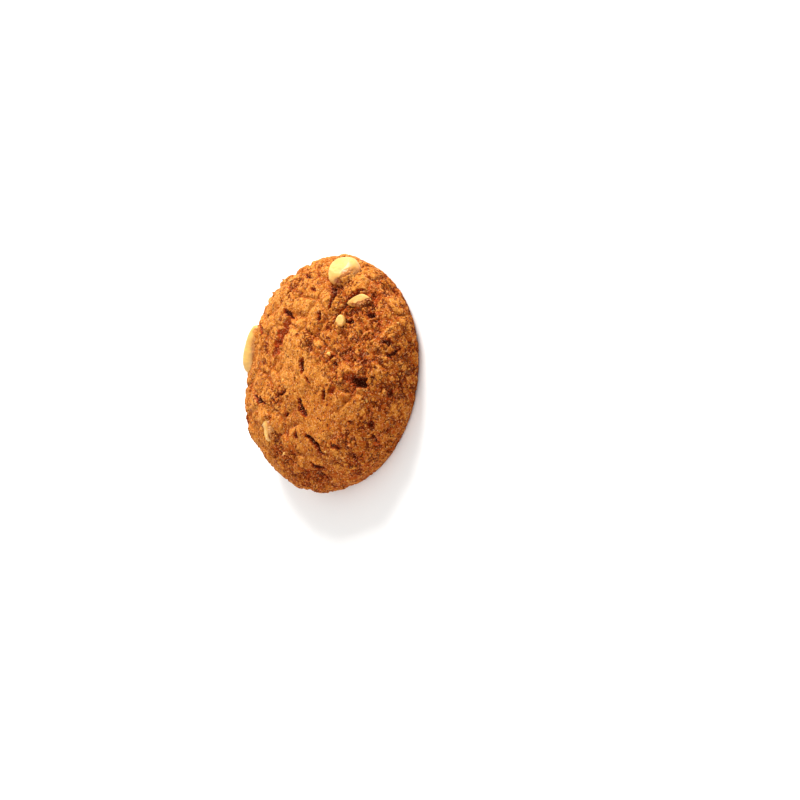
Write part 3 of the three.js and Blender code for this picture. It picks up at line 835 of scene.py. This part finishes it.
def roasted_cashew(colours):
    """Oven-roasted cashew: a smooth waxy cream outside with faint lines along it, duller where it is broken,
    toasted in patches, and browned and then coated with dough where the crust laps over it."""
    material, tree, shader = bare_material("Roasted cashew")
    place = add_node(tree, "ShaderNodeTexCoord").outputs["Object"]
    mark = {name: add_node(tree, "ShaderNodeAttribute", attribute_name=name).outputs["Fac"]
            for name in ("broken", "smear", "tone", "crumb")}
    patch = add_node(tree, "ShaderNodeTexNoise", {"Vector": place, "Scale": per_mm(4), "Detail": 3})
    patchy = add_node(tree, "ShaderNodeMapRange", {
        "Value": patch.outputs["Fac"], "From Min": 0.42, "From Max": 0.68, "To Max": 0.25})
    toasted = add_node(tree, "ShaderNodeMath", {
        0: mark["smear"], 1: 0.75, 2: patchy.outputs[0]}, operation="MULTIPLY_ADD")
    shade = add_node(tree, "ShaderNodeMixRGB", {
        "Fac": toasted.outputs[0], "Color1": (*colours.nut, 1), "Color2": (*colours.nut_toasted, 1)})
    crust, _ = crust_tones(tree, colours, place, mark["tone"], mark["crumb"])
    coated = add_node(tree, "ShaderNodeMapRange", {"Value": mark["smear"], "From Min": 0.8, "From Max": 0.93})
    dough = add_node(tree, "ShaderNodeMixRGB", {
        "Fac": coated.outputs[0], "Color1": shade.outputs[0], "Color2": crust})
    lines = add_node(tree, "ShaderNodeTexNoise", {
        "Vector": add_node(tree, "ShaderNodeMapping", {"Vector": place, "Scale": (1, 0.25, 1)}).outputs[0],
        "Scale": per_mm(1.1), "Detail": 2})
    light = add_node(tree, "ShaderNodeMapRange", {
        "Value": lines.outputs["Fac"], "From Min": 0.3, "From Max": 0.7, "To Min": 0.8, "To Max": 1.06})
    final = add_node(tree, "ShaderNodeVectorMath", {
        0: dough.outputs[0], 1: light.outputs[0]}, operation="MULTIPLY")
    tree.links.new(final.outputs[0], shader.inputs["Base Color"])
    rough = add_node(tree, "ShaderNodeMapRange", {"Value": mark["broken"], "To Min": 0.42, "To Max": 0.7})
    tree.links.new(rough.outputs[0], shader.inputs["Roughness"])
    bump = add_node(tree, "ShaderNodeBump", {
        "Height": lines.outputs["Fac"], "Strength": 0.7, "Distance": 0.14 * MM})
    tree.links.new(bump.outputs[0], shader.inputs["Normal"])
    shader.inputs["Subsurface Weight"].default_value = 0.15
    shader.inputs["Subsurface Scale"].default_value = 1.5 * MM
    shader.inputs["Subsurface Radius"].default_value = (1, 0.6, 0.3)
    return material


def painted_floor(colours):
    """A matt white painted studio board, very slightly mottled by the roller."""
    material, tree, shader = bare_material("White studio board")
    place = add_node(tree, "ShaderNodeTexCoord").outputs["Object"]
    roller = add_node(tree, "ShaderNodeTexNoise", {"Vector": place, "Scale": per_mm(3), "Detail": 2})
    bump = add_node(tree, "ShaderNodeBump", {
        "Height": roller.outputs["Fac"], "Strength": 0.08, "Distance": 0.1 * MM})
    tree.links.new(bump.outputs[0], shader.inputs["Normal"])
    shader.inputs["Base Color"].default_value = (*colours.floor, 1)
    shader.inputs["Roughness"].default_value = 0.8
    return material


def material_for(context, make):
    """The material that a function makes, made once and then shared."""
    name = make.__name__
    known = {m["made_by"]: m for m in bpy.data.materials if "made_by" in m}
    if name not in known:
        known[name] = make(context.scene.biscuit_colours)
        known[name]["made_by"] = name
    return known[name]


# ------------------------------------------------------------------------------------------- operators
class BISCUIT_OT_dough(bpy.types.Operator):
    """Bakes the dough: the domed body with its crust, cracks and holes"""

    bl_idname = "biscuit.dough"
    bl_label = "Dough"

    def execute(self, context):
        points, faces, marks = crust(context.scene.biscuit_sizes)
        material = material_for(context, baked_crust)
        new_piece("biscuit_crust", points, faces, marks, material, ("dough",))
        return {"FINISHED"}


class BISCUIT_OT_nuts(bpy.types.Operator):
    """Presses the broken cashews into the dough"""

    bl_idname = "biscuit.nuts"
    bl_label = "Cashews"

    def execute(self, context):
        for seed, (node, nut) in enumerate(NUTS.items()):
            fineness = 6 if max(nut["half"]) > 4 else 5
            points, faces, marks = broken_nut(context.scene.biscuit_sizes, nut, seed, fineness)
            material = material_for(context, roasted_cashew)
            new_piece(f"{node}_baked", points, faces, marks, material, (node,))
        return {"FINISHED"}


class BISCUIT_OT_crumbs(bpy.types.Operator):
    """Scatters crumbs of dough and specks of nut that stick to the crust"""

    bl_idname = "biscuit.crumbs"
    bl_label = "Crumbs and specks"

    def execute(self, context):
        crust_piece = bpy.data.objects.get("biscuit_crust")
        if crust_piece is None:
            raise RuntimeError("the crumbs sit on the crust, so the dough is baked first")
        mesh = crust_piece.data
        points = np.empty(len(mesh.vertices) * 3)
        mesh.vertices.foreach_get("co", points)
        points = points.reshape(-1, 3) / MM
        ways = np.array([v.normal for v in mesh.vertices])
        self.stuck_crumbs(context, mesh, points, ways)
        self.nut_specks(context, points, ways)
        return {"FINISHED"}

    def stuck_crumbs(self, context, mesh, points, ways):
        sizes = context.scene.biscuit_sizes
        draw = np.random.default_rng(SEEDS["stuck_crumb"])
        tone = np.empty(len(points))
        mesh.attributes["tone"].data.foreach_get("value", tone)
        on_dome = np.flatnonzero((points[:, 2] > SMOOTH_FOOT) & (ways[:, 2] > 0.1) & (tone > 0.35))
        chosen = draw.choice(on_dome, sizes.stuck_crumbs, replace=False)
        reach = draw.uniform(*STUCK_REACH, len(chosen)) * sizes.crumb / MM
        lumps, faces = pebbles(points[chosen], ways[chosen], reach, STUCK_RISE, SEEDS["stuck_crumb"])
        each = len(lumps) // len(chosen)
        marks = {
            "tone": np.full(len(lumps), 0.55),
            "split": np.zeros(len(lumps)),
            "open": np.zeros(len(lumps)),
            "crumb": np.repeat(draw.uniform(0, 1, len(chosen)), each),
            "tray": np.zeros(len(lumps)),
        }
        new_piece("stuck_crumbs", lumps, faces, marks, material_for(context, baked_crust))

    def nut_specks(self, context, points, ways):
        plan = np.array([speck[:2] for speck in NUT_SPECKS])
        high = np.flatnonzero(points[:, 2] > SMOOTH_FOOT)
        nearest = [high[np.argmin(np.linalg.norm(points[high, :2] - spot, axis=1))] for spot in plan]
        reach = np.array([speck[2] for speck in NUT_SPECKS]) / 2
        lumps, faces = pebbles(points[nearest], ways[nearest], reach, SPECK_RISE, SEEDS["nut_skin"])
        marks = {
            "broken": np.ones(len(lumps)),
            "smear": np.full(len(lumps), 0.45),
            "tone": np.full(len(lumps), 0.6),
        }
        new_piece("nut_specks", lumps, faces, marks, material_for(context, roasted_cashew))


class BISCUIT_OT_studio(bpy.types.Operator):
    """Sets up the pale floor, the soft lights and the camera"""

    bl_idname = "biscuit.studio"
    bl_label = "Studio"

    def execute(self, context):
        self.floor(context)
        self.lights(context)
        self.camera(context)
        context.scene.view_settings.view_transform = "Standard"
        return {"FINISHED"}

    def floor(self, context):
        mesh = bpy.data.meshes.new("studio_floor")
        half, level = BOARD["half_side"], -BOARD["gap"] * MM
        corners = [(x * half, y * half, level) for x, y in ((-1, -1), (1, -1), (1, 1), (-1, 1))]
        mesh.from_pydata(corners, [], [(0, 1, 2, 3)])
        mesh.materials.append(material_for(context, painted_floor))
        board = bpy.data.objects.new("studio_floor", mesh)
        context.collection.objects.link(board)

    def lights(self, context):
        world = bpy.data.worlds.new("studio")
        world.use_nodes = True
        sky = world.node_tree.nodes["Background"]
        sky.inputs["Color"].default_value = (1, 1, 1, 1)
        sky.inputs["Strength"].default_value = SKY_STRENGTH
        context.scene.world = world
        for name, (toward, distance, size, power) in LAMPS.items():
            light = bpy.data.lights.new(name, "AREA")
            light.size = size
            light.energy = power
            lamp = bpy.data.objects.new(name, light)
            way = Vector(toward).normalized()
            lamp.location = way * distance
            lamp.rotation_euler = way.to_track_quat("Z", "Y").to_euler()
            context.collection.objects.link(lamp)

    def camera(self, context):
        """The photograph's view: 39 degrees above the table from -Y, turned so that +X is nearly up."""
        theta, roll = math.radians(VIEW["from_plumb"]), math.radians(VIEW["turned"])
        back = Vector((0, -math.sin(theta), math.cos(theta)))
        right = Vector((1, 0, 0))
        up = back.cross(right)
        view = bpy.data.cameras.new("photo_view")
        view.sensor_width = VIEW["sensor"]
        view.lens = VIEW["sensor"] * VIEW["distance"] / VIEW["field"]
        x_way = right * math.cos(roll) - up * math.sin(roll)
        y_way = right * math.sin(roll) + up * math.cos(roll)
        facing = Matrix((x_way, y_way, back)).transposed()
        x, y = (spot / PHOTO_SIDE - 0.5 for spot in AIM_IN_PHOTO)
        aside = Vector((x, -y, -view.lens / VIEW["sensor"]))
        turn = aside.normalized().rotation_difference(Vector((0, 0, -1))).to_matrix()
        aim = Vector((0, 0, VIEW["aim_height"] * MM))
        lens = bpy.data.objects.new("photo_view", view)
        lens.matrix_world = Matrix.Translation(aim + back * VIEW["distance"] * MM) @ (facing @ turn).to_4x4()
        view.clip_start = 0.01
        context.collection.objects.link(lens)
        context.scene.camera = lens


OPERATORS = (BISCUIT_OT_dough, BISCUIT_OT_nuts, BISCUIT_OT_crumbs, BISCUIT_OT_studio)


class BISCUIT_PT_panel(bpy.types.Panel):
    """Lists the biscuit's pieces, sizes and colours"""

    bl_label = "Nut Biscuit"
    bl_idname = "BISCUIT_PT_panel"
    bl_space_type = "VIEW_3D"
    bl_region_type = "UI"
    bl_category = "Biscuit"

    def draw(self, context):
        for group in (context.scene.biscuit_sizes, context.scene.biscuit_colours):
            box = self.layout.box()
            for name in group.__annotations__:
                box.prop(group, name)
        for operator in OPERATORS:
            self.layout.operator(operator.bl_idname)


CLASSES = (BiscuitSizes, BiscuitColours, *OPERATORS, BISCUIT_PT_panel)


def register():
    for cls in CLASSES:
        bpy.utils.register_class(cls)
    bpy.types.Scene.biscuit_sizes = bpy.props.PointerProperty(type=BiscuitSizes)
    bpy.types.Scene.biscuit_colours = bpy.props.PointerProperty(type=BiscuitColours)


def unregister():
    del bpy.types.Scene.biscuit_colours
    del bpy.types.Scene.biscuit_sizes
    for cls in reversed(CLASSES):
        bpy.utils.unregister_class(cls)


def main():
    register()
    bpy.ops.biscuit.dough()
    bpy.ops.biscuit.nuts()
    bpy.ops.biscuit.crumbs()
    bpy.ops.biscuit.studio()


if __name__ == "__main__":
    main()
